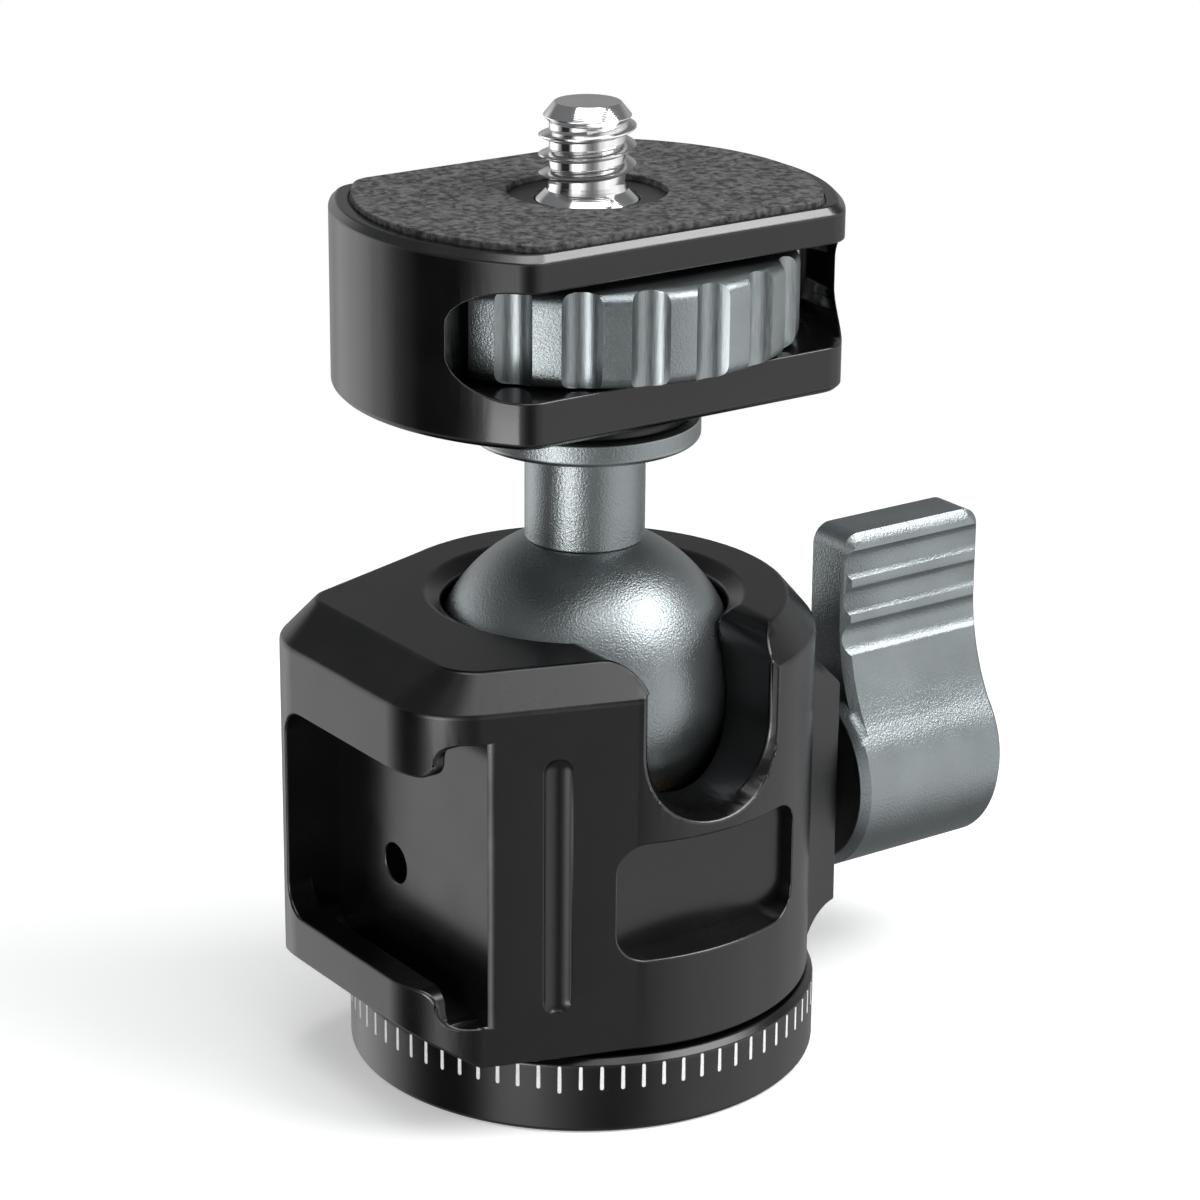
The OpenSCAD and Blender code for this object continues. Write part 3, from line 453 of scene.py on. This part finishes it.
# Pan bearing
# A slippery plastic washer between the ring and the housing, a turned aluminium plug in the
# housing, and a retainer with three screws that holds the two together. A second washer lies
# under the retainer.
def moulded(name, dark, light, rough, grain, deep):
    finish = Finish(name, {"Roughness": rough})
    fleck = finish.noise(scale=grain, detail=4)
    finish.colour(fleck, dark, light)
    finish.relief(fleck, deep)
    return finish.material


def dress(material, *node_names):
    for name in node_names:
        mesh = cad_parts[name].data
        mesh.materials.clear()
        mesh.materials.append(material)


dress(moulded("slip_plastic", (0.05, 0.05, 0.048), (0.075, 0.074, 0.07),
              rough=0.45, grain=2600, deep=0.000004),
      "glide_washer", "pan_washer")
dress(turned_metal("plain_turned_alloy", (0.50, 0.51, 0.52), (0.60, 0.61, 0.62),
                   ring_gap=0.00014, smooth=0.25, rough=0.4, axis="Z"),
      "pan_retainer", "bearing_plug")
dress(turned_metal("blackened_steel", (0.030, 0.030, 0.032), (0.055, 0.054, 0.054),
                   ring_gap=0.00010, smooth=0.30, rough=0.42, axis="Z"),
      "retainer_screws")

# Housing
# Milled from one block of aluminium: round body, square shoulder with the accessory shoe, notch,
# pocket and finger groove. Blasted and dyed black. Its broken edges get a lighter metallic black,
# a painted highlight, and the shoulder's upright corner is softer than the rest.
upright_corner = ((-0.0152, -0.0113, 0.0082), (-0.0152, -0.0113, 0.0285), 0.0004)
chamfer_corner = ((-0.0156, -0.0112, 0.0302), (-0.0144, -0.0095, 0.0325), 0.0005)
groove_side = ((-0.0122, -0.0135, 0.0085), (-0.0096, -0.0121, 0.0272))
notch_lip = ((-0.0072, -0.0094, 0.0308), (-0.0050, -0.0068, 0.0327))
# The housing's broken edges take a lighter metallic black: a painted highlight.
metal_edge_highlight = anodised("metal_black_edge_painted_highlight", dark=(0.060, 0.060, 0.062), light=(0.095, 0.095, 0.097),
                       metal=1.0, mirror=0.50, smooth=0.22, rough=0.30, grain=5000, deep=0.000003)
broken_edges("housing", "housing_body", (black_skin, metal_edge_highlight), slight=0.00016,
             wide=0.00018, soft=(upright_corner, chamfer_corner), crisp=(groove_side, notch_lip))

# Ball seat and clamp stud
# A cup of bronze, dark with oil, lies under the ball, and a steel stud whose cone lets it drop
# when the lever is opened. The stud and the screw that holds the lever on it are blackened.
dress(turned_metal("oiled_bronze", (0.035, 0.024, 0.014), (0.06, 0.04, 0.022),
                   ring_gap=0.00013, smooth=0.28, rough=0.42, axis="Z"),
      "ball_seat")
dress(turned_metal("blackened_stud", (0.022, 0.022, 0.024), (0.045, 0.045, 0.046),
                   ring_gap=0.00010, smooth=0.30, rough=0.40, axis="X"),
      "clamp_stud", "lever_screw")

# Clamp lever
# One piece of aluminium, turned at the hub and milled up the handle, with three grip grooves.
# Blasted and anodised to a blue grey. A plastic washer lies in the hub's recess, and one like it
# over the thumb wheel.
grey_skin = anodised("grey_anodised", dark=(0.245, 0.272, 0.280), light=(0.300, 0.330, 0.338),
                     metal=0.94, mirror=0.5, smooth=0.28, rough=0.36, grain=6800, deep=0.000034)
# A lighter grey for broken edges: a painted highlight.
grey_edge_highlight = anodised("grey_edge_painted_highlight", dark=(0.38, 0.41, 0.415), light=(0.52, 0.55, 0.555),
                     metal=1.0, mirror=0.5, smooth=0.26, rough=0.34, grain=6000, deep=0.000010)
broken_edges("lever", "lever_body", (grey_skin, grey_edge_highlight), crease=20)
dress(moulded("black_washer_plastic", (0.012, 0.013, 0.014), (0.022, 0.023, 0.025),
              rough=0.5, grain=1800, deep=0.000006),
      "lever_washer", "wheel_washer")

# Ball, neck and flange
# The ball is turned and blasted to a fine even grain, and the neck with its flange screws down on
# it. Both have the blue grey finish.
satin_ball = anodised("satin_ball", dark=(0.255, 0.282, 0.290), light=(0.290, 0.320, 0.328),
                      metal=0.88, mirror=0.5, smooth=0.26, rough=0.32, grain=6800, deep=0.000034)
dress(satin_ball, "ball")
# The neck's broken edges take the lighter grey of the painted highlight.
broken_edges("ball_stem", "stem", (satin_ball, grey_edge_highlight), slight=0.00015, wide=0.00015)

# Camera plate
# A flat-sided disc milled from aluminium, with a window through each flat for the thumb wheel,
# fixed to the neck by a countersunk screw. Dyed black as the housing. The pad's seat is a lighter
# black, a painted reflection, and the chamfer round the top is lighter where it was cut.
fine_black = anodised("fine_black_anodised", dark=(0.0026, 0.0026, 0.0028), light=(0.0038, 0.0038, 0.0041),
                      metal=0.0, mirror=0.50, smooth=0.15, rough=0.20, grain=7000, deep=0.000002)
seat_painted_reflection = anodised("black_seat_painted_reflection", dark=(0.020, 0.020, 0.021), light=(0.034, 0.034, 0.035),
                        metal=0.0, mirror=0.50, smooth=0.35, rough=0.45, grain=5000, deep=0.000003)
cut_chamfer = anodised("bare_cut_chamfer", dark=(0.10, 0.10, 0.102), light=(0.135, 0.135, 0.137),
                       metal=1.0, mirror=0.5, smooth=0.20, rough=0.28, grain=5000, deep=0.000002)
low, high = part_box("top_plate")
pad_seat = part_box("plate_pad")[0][2]
vertices_apart, flat_slack, seat_slack, chamfer_high = 0.00011, 0.00005, 0.0001, 0.0006
level_from, leaning_from, leaning_to = 0.9, 0.3, 0.95
top_plate = broken_edges("top_plate", "plate",
                         (fine_black, black_edge_highlight, seat_painted_reflection, cut_chamfer), slight=0.00014,
                         wide=0.00010, even_out=vertices_apart, halve_past=high[1] - flat_slack)
# The pad's seat takes the lighter black of the painted reflection, the top chamfer the cut finish.
for face in top_plate.data.polygons:
    if face.normal.z > level_from and abs(face.center.z - pad_seat) < seat_slack:
        face.material_index = 2
    elif leaning_from < face.normal.z < leaning_to and face.center.z > high[2] - chamfer_high:
        face.material_index = 3
dress(turned_metal("blackened_screw", (0.030, 0.030, 0.032), (0.055, 0.054, 0.054),
                   ring_gap=0.00010, smooth=0.30, rough=0.42, axis="Z"),
      "plate_screw")

# Thumb wheel
# Turned and fluted aluminium, blue grey. The lands keep the blasted grain, and the flutes show the
# upright marks of the cutter.
cutter_marks = Finish("flute_cutter_marks", {"Metallic": 1.0})
long_way = preset(cutter_marks.nodes.new("ShaderNodeMapping"), {"Scale": (1, 1, 0.08)})
cutter_marks.links.new(cutter_marks.place, long_way.inputs["Vector"])
streak = cutter_marks.noise(scale=9000, detail=3, place=long_way.outputs["Vector"])
cutter_marks.colour(streak, (0.235, 0.262, 0.270), (0.345, 0.372, 0.382))
cutter_marks.wear(streak, smooth=0.24, rough=0.44, smooth_at=0, rough_at=1)
cutter_marks.relief(streak, deep=0.000008)
low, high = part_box("thumb_wheel")
flutes, flute_r, flute_in, hub_hole = 20, 0.00142, 0.00085, 0.0025
rim_round, rim_bow, rim_points = 0.00105, 1.15, 7
points_per_flute, least_half_flute, flute_slack = 24, 0.003, 0.00006
wheel_high, land_r, flute_mid = high[2] - low[2], high[0], high[0] + flute_r - flute_in
rim = []
for i in range(rim_points):
    bend = math.radians(90 / (rim_points - 1) * i)
    rim.append((land_r - rim_round * (1 - math.sin(bend)) ** rim_bow,
                rim_round * (1 - math.cos(bend)) ** rim_bow))
rim = (rim + [(land_r, wheel_high * k / 4) for k in (1, 2, 3)]
       + [(r, wheel_high - rise) for r, rise in reversed(rim)])
bm = bmesh.new()
levels = [bmesh.ops.create_circle(bm, segments=flutes * points_per_flute, radius=1.0)["verts"]]
belt = list(bm.edges)
for _ in rim[1:]:
    grown = bmesh.ops.extrude_edge_only(bm, edges=belt)["geom"]
    levels.append([g for g in grown if isinstance(g, bmesh.types.BMVert)])
    newest = set(levels[-1])
    belt = [g for g in grown if isinstance(g, bmesh.types.BMEdge) and newest.issuperset(g.verts)]
for (rim_r, rise), level in zip(rim, levels):
    cut = (rim_r ** 2 + flute_mid ** 2 - flute_r ** 2) / (2 * rim_r * flute_mid)
    half = max(math.acos(cut) if cut < 1 else 0, least_half_flute)
    for v in level:
        turn = math.atan2(v.co.y, v.co.x) / math.tau * flutes
        flute = round(turn)
        along = (turn - flute) * 2
        r = rim_r
        if abs(along) <= 0.5:
            side = half * along / 0.5
            reach = flute_mid * math.sin(side)
            flute_wall = flute_mid * math.cos(side) - math.sqrt(max(flute_r ** 2 - reach ** 2, 0))
            r = min(flute_wall, rim_r) if cut < 1 else rim_r
        else:
            half_pitch = math.pi / flutes
            side = math.copysign(half + (half_pitch - half) * (abs(along) - 0.5) / 0.5, along)
        angle = side + flute * math.tau / flutes + math.pi / 2
        v.co = (r * math.cos(angle), r * math.sin(angle), low[2] + rise)
for face_z in (low[2], high[2]):
    outer = [e for e in bm.edges if e.is_boundary and all(abs(v.co.z - face_z) < 1e-7 for v in e.verts)]
    grown = bmesh.ops.extrude_edge_only(bm, edges=outer)["geom"]
    for v in (g for g in grown if isinstance(g, bmesh.types.BMVert)):
        shrink = hub_hole / math.hypot(v.co.x, v.co.y)
        v.co.x, v.co.y = v.co.x * shrink, v.co.y * shrink
bmesh.ops.bridge_loops(bm, edges=[e for e in bm.edges if e.is_boundary])
bmesh.ops.recalc_face_normals(bm, faces=bm.faces)
for face in bm.faces:
    middle = face.calc_center_median()
    if abs(face.normal.z) < leaning_from and math.hypot(middle.x, middle.y) < land_r - flute_slack:
        face.material_index = 1
settled("fluted_thumb_wheel", bm, "wheel", (grey_skin, cutter_marks.material),
        ("thumb_wheel",), crease=30)

# Camera screw
# A bright plated steel screw, pressed through the wheel. The thread is a real one, 1.27 mm from
# crest to crest, wound on the core as one ridge that runs out at both ends.
low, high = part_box("camera_screw")
wheel_top, tip_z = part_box("thumb_wheel")[1][2], high[2]
core_r, crest_r, pressed_r = 0.00249, 0.003175, 0.002475
# The neck goes by radius and height over the pad's seat, the tip by radius and depth.
neck = ((high[0], -0.00004), (high[0] - 0.00010, 0.00008), (0.00290, 0.00038),
        (0.00266, 0.00062), (0.00256, 0.00095), (core_r, 0.00120))
tip = ((core_r, 0.00130), (0.00286, 0.00090), (0.00286, 0.00084), (0.00222, 0.00005),
       (0.00214, 0), (0, 0))
bm = bmesh.new()
turned(bm, [(0, low[2]), (pressed_r, low[2]), (pressed_r, wheel_top), (high[0], wheel_top)]
       + [(r, pad_seat + rise) for r, rise in neck] + [(r, tip_z - drop) for r, drop in tip], steps=96)
wound_ridge(bm, core_r, crest_r, thread_pitch, low=pad_seat + 0.00066, high=tip_z - 0.00072,
            root_wide=0.00080, crest_wide=0.00010)
chrome = turned_metal("bright_plating", (0.80, 0.80, 0.80), (0.90, 0.90, 0.90),
                      ring_gap=0.00009, smooth=0.07, rough=0.13, axis="Z")
settled("threaded_camera_screw", bm, "wheel", (chrome,), ("camera_screw",), crease=28)

# Non-slip pad
# Charcoal rubber with a moulded leather grain, glued into a shallow seat in the plate's top. The
# grain is a net of short wrinkles, and their folds are darkened with painted shade.
leather = Finish("grained_rubber", {"Specular IOR Level": 0.25, "Roughness": 0.72})
bend = preset(leather.nodes.new("ShaderNodeMixRGB"), {"Fac": 0.0008})
bend.blend_type = "ADD"
leather.links.new(leather.place, bend.inputs["Color1"])
leather.links.new(leather.noise(scale=900).outputs["Color"], bend.inputs["Color2"])
wrinkle_and_fold_shade = leather.noise(scale=1950, detail=3, roughness=0.55, place=bend.outputs["Color"])
# The same pattern colours the rubber, so that the folds get painted shade.
leather.colour(wrinkle_and_fold_shade, (0.030, 0.030, 0.031), (0.136, 0.136, 0.138), dark_at=0.36, light_at=0.64)
leather.relief(wrinkle_and_fold_shade, deep=0.00010)
broken_edges("plate_pad", "plate", (leather.material, leather.material),
             slight=0.00008, wide=0.00008)

# Size
# The box round all that is shown, the floor left out, is measured.
low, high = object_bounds()
